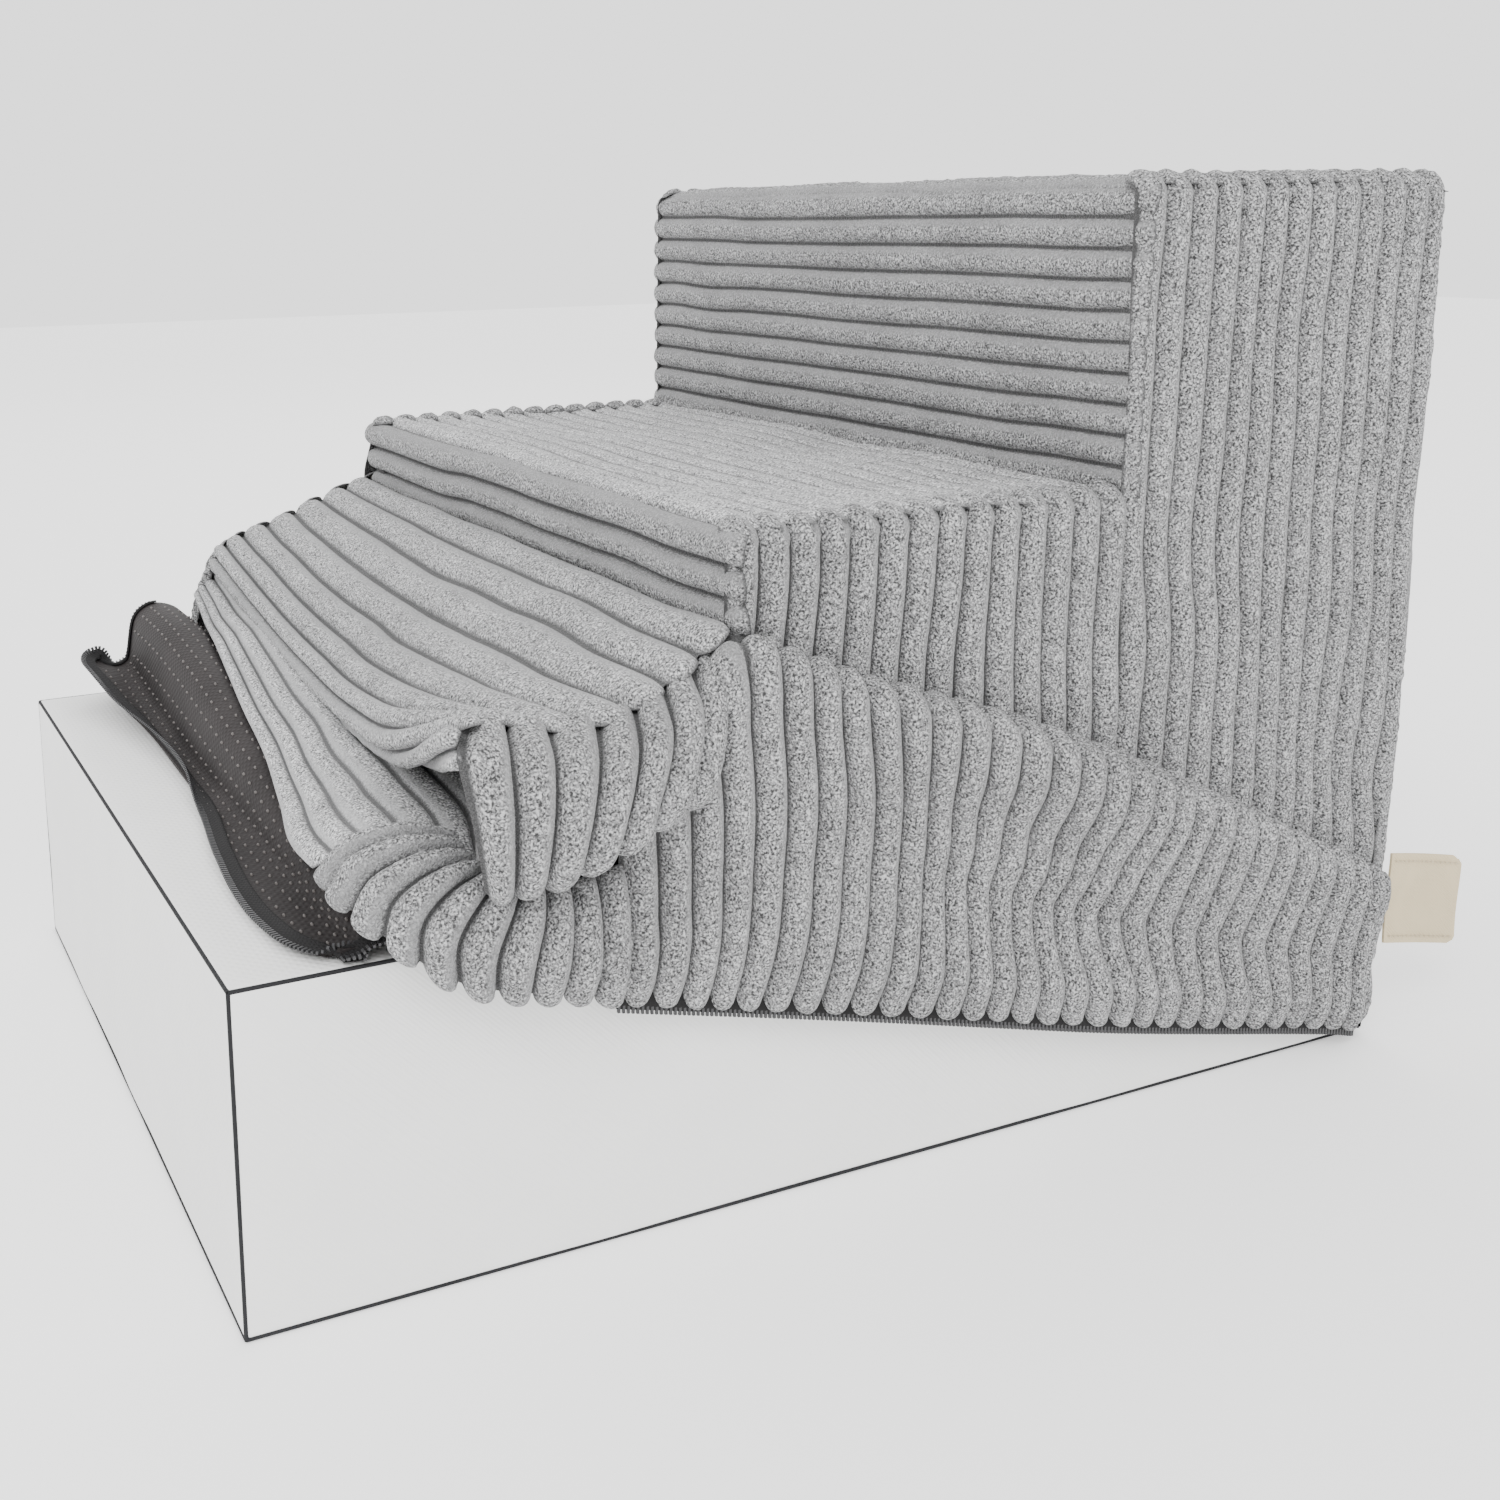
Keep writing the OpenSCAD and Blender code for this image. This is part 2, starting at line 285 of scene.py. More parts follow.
def plush_material(name, light=1.0, fuzz=1.0):
    mat, tree, shader = material(name, (0.4 * light,) * 3, 0.95)
    link = tree.links.new
    where = node(tree, "ShaderNodeTexCoord").outputs["Object"]
    ridge = node(tree, "ShaderNodeAttribute", attribute_name="ridge").outputs["Fac"]
    band = node(tree, "ShaderNodeAttribute", attribute_name="band").outputs["Fac"]
    curl = node(tree, "ShaderNodeTexNoise", Scale=1150.0, Detail=1.0, Roughness=0.4, Distortion=0.5)
    fibre = node(tree, "ShaderNodeTexNoise", Scale=2400.0, Detail=1.0, Roughness=0.6)
    patch = node(tree, "ShaderNodeTexNoise", Scale=26.0, Detail=3.0, Roughness=0.55)
    for n in (curl, fibre, patch):
        link(where, n.inputs["Vector"])

    def grey(value):
        return (value * light, value * light, value * light * 1.01)
    # painted light and shade: the curl pattern's darkest stop is painted shade between the curls, its
    # brightest stop a painted highlight on their tips
    pile = ramp(tree, curl.outputs["Fac"], [(0.34, grey(0.06)), (0.43, grey(0.22)), (0.55, grey(0.35)),
                                            (0.64, grey(0.66))])
    smooth = ramp(tree, fibre.outputs["Fac"], [(0.3, grey(0.28)), (0.7, grey(0.36))])
    # painted shade: near-black colour for the grooves between wales and at wale ends, where shade falls; the
    # linings, whose ridge is 0, get it too
    painted_groove_shade = ramp(tree, fibre.outputs["Fac"], [(0.3, grey(0.06)), (0.7, grey(0.13))])
    keep = node(tree, "ShaderNodeMath", operation="MULTIPLY")
    keep.inputs[1].default_value = 0.75
    link(band, keep.inputs[0])
    with_band = node(tree, "ShaderNodeMix", data_type="RGBA")
    link(keep.outputs["Value"], with_band.inputs["Factor"])
    link(pile.outputs["Color"], with_band.inputs[6])
    link(smooth.outputs["Color"], with_band.inputs[7])
    # a low ridge (grooves, wale ends, linings) takes the painted groove shade
    groove_shade_mask = ramp(tree, ridge, [(0.02, (0, 0, 0)), (0.36, (1, 1, 1))])
    mix = node(tree, "ShaderNodeMix", data_type="RGBA")
    link(groove_shade_mask.outputs["Color"], mix.inputs["Factor"])
    link(painted_groove_shade.outputs["Color"], mix.inputs[6])
    link(with_band.outputs[2], mix.inputs[7])
    tone = ramp(tree, patch.outputs["Fac"], [(0.3, (0.84, 0.84, 0.84)), (0.7, (1.0, 1.0, 1.0))])
    multiply = node(tree, "ShaderNodeMix", data_type="RGBA", blend_type="MULTIPLY")
    multiply.inputs["Factor"].default_value = 1.0
    link(mix.outputs[2], multiply.inputs[6])
    link(tone.outputs["Color"], multiply.inputs[7])
    link(multiply.outputs[2], shader.inputs["Base Color"])
    fine = bump(tree, shader, fibre.outputs["Fac"], 0.3 * fuzz, 0.0004)
    bump(tree, shader, curl.outputs["Fac"], 1.0 * fuzz, 0.0014, fine)
    shader.inputs["Sheen Weight"].default_value = 0.15
    shader.inputs["Sheen Roughness"].default_value = 0.5
    shader.inputs["Specular IOR Level"].default_value = 0.1
    return mat


def cloth_material(name, color, scale=900.0, depth=0.0004, contrast=0.2, rough=0.85):
    mat, tree, shader = material(name, color, rough)
    link = tree.links.new
    where = node(tree, "ShaderNodeTexCoord").outputs["Object"]
    heights = []
    for turn in (0, 1):
        m = node(tree, "ShaderNodeMapping", Rotation=(0.0, 0.0, turn * math.pi / 2))
        link(where, m.inputs["Vector"])
        w = node(tree, "ShaderNodeTexWave", Scale=scale / 6.0, Distortion=0.6, Detail=1.0,
                 bands_direction="DIAGONAL")
        link(m.outputs["Vector"], w.inputs["Vector"])
        heights.append(w.outputs["Fac"])
    both = node(tree, "ShaderNodeMath", operation="MULTIPLY")
    link(heights[0], both.inputs[0])
    link(heights[1], both.inputs[1])
    stain = node(tree, "ShaderNodeTexNoise", Scale=30.0, Detail=4.0)
    link(where, stain.inputs["Vector"])
    tint = ramp(tree, stain.outputs["Fac"], [(0.3, tuple(c * (1 - contrast) for c in color)), (0.7, color)])
    link(tint.outputs["Color"], shader.inputs["Base Color"])
    bump(tree, shader, both.outputs["Value"], 0.5, depth)
    shader.inputs["Specular IOR Level"].default_value = 0.25
    return mat


PLUSH = plush_material("ribbed_plush", light=0.88)
PLUSH_SOFT = plush_material("ribbed_plush_soft", light=1.04, fuzz=0.8)
PLUSH_WORN = plush_material("ribbed_plush_worn", light=1.22, fuzz=0.5)
LINER = cloth_material("liner_cloth", (0.86, 0.86, 0.85), contrast=0.03)
PIPING = cloth_material("dark_piping", (0.02, 0.02, 0.022))
BASE = cloth_material("nonslip_cloth", (0.024, 0.020, 0.020), contrast=0.35, rough=0.7)
TAPE = cloth_material("zip_tape", (0.014, 0.0135, 0.014), scale=1500)
TAG = cloth_material("tag_cloth", (0.60, 0.50, 0.33), scale=2200, contrast=0.08)
TAG_THREAD = cloth_material("tag_thread", (0.55, 0.47, 0.33), scale=3000)


def hard_material(name, color, rough, metal=0.0):
    mat, tree, shader = material(name, color, rough)
    where = node(tree, "ShaderNodeTexCoord").outputs["Object"]
    grain = node(tree, "ShaderNodeTexNoise", Scale=900.0, Detail=4.0)
    tree.links.new(where, grain.inputs["Vector"])
    r = ramp(tree, grain.outputs["Fac"], [(0.3, (rough * 0.8,) * 3), (0.7, (min(1, rough * 1.2),) * 3)])
    tree.links.new(r.outputs["Color"], shader.inputs["Roughness"])
    bump(tree, shader, grain.outputs["Fac"], 0.2, 0.0002)
    shader.inputs["Metallic"].default_value = metal
    return mat


TEETH = hard_material("zip_teeth", (0.03, 0.03, 0.032), 0.4)
METAL = hard_material("zip_metal", (0.33, 0.34, 0.36), 0.35, 1.0)
DOTS = hard_material("rubber_dots", (0.09, 0.08, 0.076), 0.5)
FOAM = hard_material("foam", (0.83, 0.79, 0.64), 0.95)


# ---------------------------------------------------------------- cover: treads and risers
def smoother(start, end, value):
    """0 at start to 1 at end, eased."""
    t = np.clip((value - start) / (end - start), 0, 1)
    return t * t * (3 - 2 * t)


def stack(x, y, z):
    return np.stack(np.broadcast_arrays(x, y, z), axis=-1).astype(float)


def ripple(y, x, size, seed):
    return size * noise(stack(y, x, np.zeros_like(y)), 62, seed)


def top_riser(a, b):
    y = WIDTH * a
    z = TOP - 4 - b * (TOP - MIDDLE + 3)
    x = -TOP_RUN + 4 + ripple(y, z, 1.3, 4) + 3.5 * np.clip(1 - b * 9, 0, 1) ** 2
    return stack(x, y, z)


def top_tread(a, b):
    y = WIDTH * a
    x = -TOP_RUN + 4 + b * (TOP_RUN - 6)
    edge = np.minimum(b, 1 - b)
    z = TOP - 4.5 - 3 * np.clip(1 - edge * 12, 0, 1) ** 2 + ripple(y, x, 1.0, 6)
    return stack(x, y, z)


def middle_tread(a, b):
    y = WIDTH * a
    x = -TOP_RUN + 6 - b * (MIDDLE_RUN - 1)
    nose = np.clip((b - 0.93) / 0.07, 0, 1)
    z = MIDDLE - 3.5 - 2.5 * np.sin(math.pi * a) * np.sin(math.pi * b) + ripple(y, x, 1.6, 7) - 4 * nose ** 2
    return stack(x, y, z)


def middle_riser(a, b):
    y = WIDTH * a
    z = MIDDLE - 4 - 39 * b
    x = X_MID + 3 + ripple(y, z, 1.2, 8) + 3 * np.clip(1 - b * 6, 0, 1) ** 2 + 4 * b ** 2
    return stack(x, y, z)


def worn_middle(a, b):
    """Wear of the middle tread: flattened but for its two ends and its front edge."""
    near_end, far_end = np.clip(1 - a / 0.06, 0, 1), np.clip(1 - (1 - a) / 0.05, 0, 1)
    front = np.clip((b - 0.86) / 0.12, 0, 1)
    return 0.34 + 0.60 * np.maximum(np.maximum(near_end, far_end), front)


def corner_strip(start, end, first, second, reach=9.0):
    """A strip of cloth folded along the edge from start to end, under the wale ends."""
    start, end, first, second = (np.array(v, dtype=float) for v in (start, end, first, second))

    def surface(a, b):
        a, b = a[..., None], b[..., None]
        sideways = np.clip(1 - 2 * b, 0, 1) * first + np.clip(2 * b - 1, 0, 1) * second
        return start + (end - start) * a + reach * sideways
    return surface


def side_strips(start, end, along_second):
    """The same strip at the near side and, mirrored, at the far side."""
    far_start, far_end = ((x, WIDTH - y, z) for x, y, z in (start, end))
    return (corner_strip(start, end, (0, 1, 0), along_second),
            corner_strip(far_start, far_end, (0, -1, 0), along_second))


def panel(name, nodes, mat, *patches, linings=()):
    """One sewn panel: wales on each (surface, count, options), with plain cloth on each lining."""
    build = Build()
    for lining in linings:
        a, b = np.meshgrid(np.linspace(0, 1, 30), np.linspace(0, 1, 60), indexing="ij")
        build.grid(lining(a, b))
    for surface, count, options in patches:
        wales(build, surface, count, **options)
    obj = build.make(name, mat)
    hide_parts(*nodes)
    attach(obj, "stair_cover")
    return obj


panel("cover_top_riser", ["top_riser_panel"], PLUSH,
      (top_riser, 10, dict(seed=11, height=3.7, wander=0.09, ends=(2.0, 2.0), cap=5.0)),
      linings=side_strips((3.6 - TOP_RUN, 5.6, TOP - 6), (3.6 - TOP_RUN, 5.6, MIDDLE - 6), (1, 0, 0)))
panel("cover_top_tread", ["top_tread_panel"], PLUSH,
      (top_tread, 13, dict(seed=12, flip=True, wander=0.1, ends=(-7.0, -6.0))),
      linings=side_strips((7 - TOP_RUN, 7.2, TOP - 6.8), (-7, 7.2, TOP - 6.8), (0, 0, -1)))
panel("cover_middle_tread", ["middle_tread_panel"], PLUSH_WORN,
      (middle_tread, 13, dict(seed=13, worn=worn_middle, pile=0.8, wander=0.1, ends=(-7.0, -6.0))),
      linings=side_strips((-TOP_RUN, 7.2, MIDDLE - 6.8), (X_MID + 7, 7.2, MIDDLE - 6.8), (0, 0, -1)))
panel("cover_middle_riser", ["middle_riser_panel"], PLUSH,
      (middle_riser, 3, dict(seed=14, height=5.6, wander=0.1, ends=(2.0, 2.0), cap=5.0)),
      linings=side_strips((X_MID + 4, 5.6, MIDDLE - 6), (X_MID + 4, 5.6, 226), (1, 0, 0)))

# ---------------------------------------------------------------- cover: near side
TOP_WALES, MIDDLE_WALES, FRONT_WALES = 13, 14, 4
SIDE_WALES = TOP_WALES + MIDDLE_WALES


def wale_x(w):
    """x at wale number w, counted from the rear."""
    return np.where(w < TOP_WALES, -w * TOP_RUN / TOP_WALES,
                    np.where(w < SIDE_WALES, -TOP_RUN - (w - TOP_WALES) * MIDDLE_RUN / MIDDLE_WALES,
                             X_MID - (w - SIDE_WALES) * 12.5))


def fold_z(x):
    """Height of the fold's crest, which runs down to the rear."""
    t = np.clip(x / X_MID, 0, 1)
    return knots([75, 104, 133, 161, 186, 207, CREST_FRONT], t)


def hem_z(x):
    """Height of the skirt's hem, which rises to the front."""
    return 9 + 99 * np.clip(-x / 402.0, 0, 1)


def near_upper(rear, count):
    """Flat part of the side above the fold, from wale number rear."""
    top = TOP - 4 if rear < TOP_WALES else MIDDLE - 4

    def surface(a, b):
        x = wale_x(rear + b * count)
        low = fold_z(x) - 12
        turn = 6.0
        arc = 0.5 * math.pi * turn
        s = a * (top - turn - low + arc)
        angle = np.clip(s / turn, 0, 0.5 * math.pi)
        z = np.where(s < arc, top - turn * (1 - np.cos(angle)), top - turn - (s - arc))
        inward = turn * (1 - np.sin(angle))
        above = np.clip((z - fold_z(x)) / 90, 0, 1)
        wave = (1 - above) * 3.0 * noise(stack(x, z * 0.55, np.zeros_like(x)), 38, 21)
        sway = (1 - above) * np.clip(1 + x / 150, 0, 1) * np.clip(-x / 14, 0, 1)
        x = x + 3.2 * sway * np.sin((z - fold_z(x)) / 11.0)
        y = 4.5 + inward + wave + ripple(x, z, 1.0, 22)
        rear_turn = np.clip(1 + x / 12, 0, 1) ** 2
        return stack(x - 1.5 * rear_turn, y + 4 * rear_turn, z)
    return surface


def near_skirt(a, b):
    """Slack part of the side below the fold."""
    x = wale_x(b * (SIDE_WALES + FRONT_WALES))
    t = np.clip(x / X_MID, 0, SKIRT_REACH)
    along = t / SKIRT_REACH
    crest = np.where(x < X_MID, CREST_FRONT - (X_MID - x) * 1.25, fold_z(x))
    hem = hem_z(x)
    drop = crest - hem
    dip = knots([6, 5, 3, 2, 3, 7, 10, 10], along)
    flare = knots([6, 8, 11, 13, 12, 11, 10, 10], along)
    out = knots([9, 12, 15, 18, 18, 15, 12, 10], along)
    pinch = np.clip(1 - np.abs(t - 0.62) / 0.22, 0, 1)
    lean = knots([1, 2.5, 4.5, 5, 3, 0, 0, 0], along)
    near_crest = np.clip(drop / 115, 0.5, 1)
    drag = knots([0, 0, 0, 0, 4, 8, 3, 0], along)
    # rows from the crest to the hem: how far out, share of the drop, extra height
    net = [(3, 1.0, -6), (8, 1.0, 0), (out, 1.0, -4), (out + 1, 0.92, -3), (0.9 * out + 0.1 * dip, 0.80, 0),
           (0.55 * out + 0.45 * dip - 3 * pinch, 0.66, 0), (0.2 * out + 0.8 * dip + pinch, 0.52, 0),
           (dip, 0.40, 0), (0.7 * dip + 0.3 * flare + 1, 0.26, 0), (flare, 0.12, 0), (flare - 3, 0.0, 0)]
    leans = (0.3, 0.5, 0.8, 0.9, 0.7, 0.1, -0.5, -0.9, -1.0, -0.8, -0.5)
    drags = (0, 0, 0, 0.1, 0.4, 0.8, 1.0, 1.0, 0.7, 0.3, 0)
    tuck = 6 * np.clip(1 + x / 30, 0, 1)
    wrap = 9 * smoother(-15, 0, x)
    rows = [stack(x + g * lean + d * drag - tuck * min(1, k / 3), 4.0 - o + wrap,
                  hem + drop * f + dz * near_crest)
            for k, ((o, f, dz), g, d) in enumerate(zip(net, leans, drags))]
    p = spline(np.stack(rows), a)
    p[..., 1] += 1.8 * noise(p * [1, 0, 0.6], 46, 31) * np.sin(math.pi * a)
    return p


BELLY = [
    [(-358, 4, 224), (-381, -3, 217), (-404, -6, 209), (-436, -8, 211), (-463, -14, 219)],
    [(-362, -7, 215), (-385, -19, 208), (-409, -23, 201), (-439, -25, 204), (-469, -24, 211)],
    [(-367, -14, 198), (-392, -26, 193), (-415, -30, 187), (-441, -31, 187), (-466, -28, 191)],
    [(-371, -12, 184), (-397, -25, 180), (-420, -28, 171), (-443, -28, 167), (-461, -25, 166)],
    [(-372, -2, 178), (-397, -8, 174), (-420, -10, 166), (-442, -10, 161), (-456, -8, 160)],
]
SWIRL = [
    [(-400, -6, 158), (-419, -8, 156), (-436, -10, 158), (-449, -9, 162),
     (-455, -5, 166), (-457, 2, 169), (-456, 12, 169)],
    [(-401, -12, 142), (-421, -16, 144), (-441, -19, 149), (-460, -16, 158),
     (-472, -9, 167), (-476, 2, 173), (-473, 16, 175)],
    [(-402, -14, 125), (-423, -19, 130), (-446, -22, 137), (-469, -19, 147),
     (-485, -10, 159), (-491, 6, 168), (-488, 27, 171)],
    [(-403, -12, 110), (-424, -15, 117), (-446, -18, 123), (-468, -16, 131),
     (-488, -9, 146), (-498, 12, 155), (-495, 44, 155)],
]

panel("cover_side_near", ["side_panel_near"], PLUSH,
      (near_upper(0, TOP_WALES), TOP_WALES, dict(seed=41, step=1.8, ends=(6.5, 0.0), cap=5.5, flip=True)),
      (near_upper(TOP_WALES, MIDDLE_WALES), MIDDLE_WALES,
       dict(seed=42, step=1.8, ends=(6.5, 0.0), cap=5.5, flip=True)),
      (near_skirt, SIDE_WALES + FRONT_WALES,
       dict(seed=43, step=1.7, ends=(1.5, 5.0), cap=6.0, height=5.6, flip=True)),
      (net_surface(BELLY), 7, dict(seed=44, step=1.6, ends=(7.0, 0.0), height=5.6, flip=True)),
      (net_surface(SWIRL), 10, dict(seed=45, step=1.6, ends=(0.0, 5.0), height=5.6, flip=True)))


# ---------------------------------------------------------------- cover: slack front
LOWER_TREAD = [
    [(-352, 4, 236), (-378, -2, 221), (-404, -5, 211), (-432, -7, 211),
     (-452, -10, 217), (-467, -18, 217), (-464, -17, 204)],
    [(-354, 60, 236), (-380, 60, 224), (-410, 60, 211), (-440, 60, 205),
     (-458, 60, 199), (-458, 60, 187), (-442, 60, 187)],
    [(-354, 130, 237), (-380, 130, 225), (-409, 130, 208), (-436, 130, 197),
     (-452, 130, 188), (-451, 130, 178), (-436, 130, 180)],
    [(-354, 200, 237), (-380, 200, 224), (-407, 200, 206), (-432, 200, 194),
     (-447, 200, 185), (-445, 200, 175), (-430, 200, 178)],
    [(-354, 270, 237), (-379, 270, 225), (-406, 270, 208), (-430, 270, 197),
     (-444, 270, 188), (-442, 270, 178), (-428, 270, 180)],
    [(-354, 340, 237), (-378, 340, 227), (-405, 340, 213), (-428, 340, 204),
     (-442, 340, 196), (-441, 340, 186), (-428, 340, 186)],
    [(-354, 397, 238), (-377, 397, 230), (-403, 397, 220), (-427, 397, 212),
     (-441, 397, 204), (-441, 397, 193), (-430, 397, 193)],
]
FRONT_RISER = [
    [(-497, 50, 153), (-483, 22, 169), (-459, 6, 164), (-443, 4, 157)],
    [(-496, 82, 152), (-481, 62, 166), (-453, 54, 168), (-427, 46, 165)],
    [(-489, 118, 154), (-474, 108, 165), (-450, 101, 172), (-427, 97, 173)],
    [(-482, 165, 160), (-469, 162, 168), (-449, 158, 174), (-434, 156, 179)],
    [(-477, 222, 168), (-464, 220, 173), (-445, 218, 177), (-431, 217, 179)],
    [(-470, 290, 177), (-459, 290, 181), (-442, 290, 183), (-430, 290, 183)],
    [(-461, 350, 177), (-453, 350, 183), (-439, 350, 187), (-430, 350, 187)],
    [(-455, 398, 181), (-449, 398, 187), (-438, 398, 192), (-430, 398, 193)],
]
POCKET = [
    [(-459, -23, 209), (-458, -24, 194), (-456, -23, 177), (-453, -19, 160)],
    [(-452, -4, 209), (-447, -2, 194), (-446, -2, 177), (-450, -4, 156)],
    [(-441, 34, 206), (-431, 38, 193), (-431, 40, 177), (-434, 42, 154)],
    [(-436, 74, 198), (-424, 78, 189), (-424, 80, 173), (-424, 80, 150)],
    [(-434, 112, 190), (-424, 116, 182), (-424, 116, 168), (-416, 116, 148)],
]
SEAM_LINING = [
    [(-346, 16, 236), (-380, 14, 218), (-410, 12, 207), (-440, 12, 205), (-458, 8, 206)],
    [(-346, 2, 234), (-380, 0, 217), (-408, -3, 206), (-438, -5, 207), (-460, -9, 212)],
    [(-348, -4, 222), (-380, -12, 208), (-406, -16, 202), (-438, -18, 203), (-460, -18, 208)],
]


def smooth_front(a, b):
    """Wear of the front riser: low wales in soft patches."""
    return 0.55 + 0.2 * noise(stack(a * 3, b * 2, 0 * a), 1.0, 5)


def worn_tread(a, _):
    """Wear of the lower tread: full wales at the near end."""
    return 0.8 + 0.2 * np.clip(1 - a * 5, 0, 1)


panel("cover_lower_tread", ["lower_tread_panel"], PLUSH_SOFT,
      (net_surface(LOWER_TREAD), 10, dict(seed=51, worn=worn_tread, wander=0.1, ends=(6.0, 4.0))),
      linings=(net_surface(SEAM_LINING),))
panel("cover_front_riser", ["front_riser_panel"], PLUSH_WORN,
      (net_surface(FRONT_RISER), 6, dict(seed=52, worn=smooth_front, flip=True, pile=0.8, ends=(0.0, 3.0))),
      (net_surface(POCKET), 6, dict(seed=53, ends=(0.0, 0.0), height=5.6)))


# ---------------------------------------------------------------- cover: far side and back
def far_upper(rear, count):
    """The near side's flat part mirrored, and lifted out to meet the far skirt."""
    near = near_upper(rear, count)

    def surface(a, b):
        p = near(a, b)
        p[..., 1] = WIDTH - p[..., 1]
        above = p[..., 2] - fold_z(p[..., 0])
        lift = np.maximum(smoother(168, 134, p[..., 2]), smoother(34, 6, above))
        p[..., 1] += 15.5 * lift
        corner = smoother(-15, 0, p[..., 0])
        p[..., 1] -= 10 * corner * lift
        return p
    return surface


def far_skirt(a, b):
    """The near skirt mirrored, with its rear corner drawn in to the back panel."""
    p = near_skirt(a, b)
    p[..., 1] = WIDTH + 14 - p[..., 1]
    corner = smoother(-20, -5, p[..., 0])
    p[..., 0] += 5 * corner
    p[..., 1] -= 9 * corner
    return p


FAR_FRONT = [
    [(-340, 402, 240), (-376, 400, 230), (-404, 398, 219),
     (-428, 398, 211), (-441, 397, 203), (-447, 396, 188)],
    [(-342, 410, 210), (-378, 409, 202), (-406, 409, 193),
     (-429, 408, 186), (-445, 406, 178), (-453, 402, 168)],
    [(-344, 412, 182), (-380, 413, 170), (-408, 413, 162),
     (-431, 412, 158), (-447, 409, 154), (-457, 404, 152)],
    [(-346, 411, 152), (-382, 412, 147), (-410, 412, 143),
     (-433, 411, 141), (-449, 408, 140), (-460, 404, 140)],
]

panel("cover_side_far", ["side_panel_far"], PLUSH,
      (far_upper(0, TOP_WALES), TOP_WALES, dict(seed=61, ends=(6.5, 0.0), cap=5.5, step=2.6, across=10)),
      (far_upper(TOP_WALES, MIDDLE_WALES), MIDDLE_WALES,
       dict(seed=62, ends=(6.5, 0.0), cap=5.5, step=2.6, across=10)),
      (far_skirt, SIDE_WALES + FRONT_WALES, dict(seed=63, ends=(3.0, 5.0), step=2.6, across=10)),
      (net_surface(FAR_FRONT), 9, dict(seed=64, ends=(4.0, 0.0), step=2.2)))


def back(a, b):
    y = 2 + (WIDTH - 4) * b
    z = TOP - 5 - (TOP - 21) * a
    low = np.clip(1 - z / 120, 0, 1)
    x = -4 + ripple(y, z, 1.5, 71) + 5 * low * noise(stack(y, z, 0 * y), 48, 72) * smoother(40, 90, y)
    x = x - 2.6 * smoother(64, 46, y) * smoother(118, 98, z) * smoother(24, 40, z)
    edge = np.clip(1 - np.minimum(b, 1 - b) * 34, 0, 1)
    return stack(x - 4 * edge ** 2, y, z)


panel("cover_back", ["back_panel"], PLUSH,
      (back, 29, dict(seed=71, ends=(0.0, 4.0), wander=0.12, step=2.6, across=10)),
      linings=side_strips((-5.5, 5.6, TOP - 6), (-5.5, 5.6, 16), (-1, 0, 0))
      + (corner_strip((-3.5, WIDTH - 3, 92), (-3.5, WIDTH - 3, 12), (0, 1, 0), (0, -1, 0)),))

# ---------------------------------------------------------------- base sheet and zipper
def base_edge(y):
    """x and z of the free front edge of the base sheet."""
    t = (y - BASE_NEAR) / BASE_WIDTH
    x = knots([-509, -514, -511, -504, -501, -503, -510, -518], t)
    z = knots([135, 135, 136, 135, 137, 140, 146, 156], t)
    near, far = np.clip((40 - y) / 28, 0, 1), np.clip((y - 380) / 18, 0, 1)
    return x + 18 * (1 - np.sqrt(1 - near ** 2)) + 10 * (1 - np.sqrt(1 - far ** 2)), z


def base_surface(a, b):
    """a from the rear (0) to the free edge (1), b from the near side to the far side."""
    y = BASE_NEAR + BASE_WIDTH * b
    rise = knots([0.10, 0.20, 0.42, 0.66, 0.86, 1.0, 1.0], b) * 45
    x_edge, z_edge = base_edge(y)
    one = np.ones_like(y)
    low = BLOCK_TOP + 2.6
    lift = knots([0, 0, 0, 0, 0.1, 0.5, 1.0], b) * 14
    net = [stack(x, y, z) for x, z in (
        (-400 * one, low), (-434 * one, low), (-449 + 4 * (1 - b), low + 0.20 * rise),
        (-456 * one, low + 0.64 * rise), (-464 * one, low + 0.90 * rise), (-473 * one, low + rise),
        (-482 * one, low + 0.99 * rise), (-489 * one, low + 0.84 * rise), (-492.5 * one, low + 0.46 * rise),
        (-494.5 * one, low + 0.09 * rise + 1 + 0.8 * lift), (-500 * one, low + 0.4 + lift),
        (0.35 * -500 + 0.65 * x_edge, 0.5 * (low + lift) + 0.5 * z_edge), (x_edge, z_edge))]
    p = spline(np.stack(net), a)
    p[..., 2] += 0.8 * noise(p, 34, 81) * np.clip((a - 0.2) * 4, 0, 1)
    return p


def thick(build, surface, rows, columns, depth, flip=False):
    """A sheet of that thickness: the surface, its underside and a rounded rim."""
    a, b = np.meshgrid(np.linspace(0, 1, rows), np.linspace(0, 1, columns), indexing="ij")
    top = surface(a, b)
    normal = np.cross(np.gradient(top, axis=0), np.gradient(top, axis=1))
    normal /= np.maximum(np.linalg.norm(normal, axis=-1, keepdims=True), 1e-9)
    under = top - normal * depth * (-1 if flip else 1)
    build.grid(top, flip=flip)
    build.grid(under, flip=not flip)
    for edge_top, edge_under in ((top[0], under[0]), (top[-1], under[-1]), (top[:, 0], under[:, 0]),
                                 (top[:, -1], under[:, -1])):
        build.grid(np.stack([edge_top, (edge_top + edge_under) / 2, edge_under], axis=1))
    return top


def finish(obj, nodes, body):
    if nodes:
        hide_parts(*nodes)
    if body:
        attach(obj, body)
    return obj


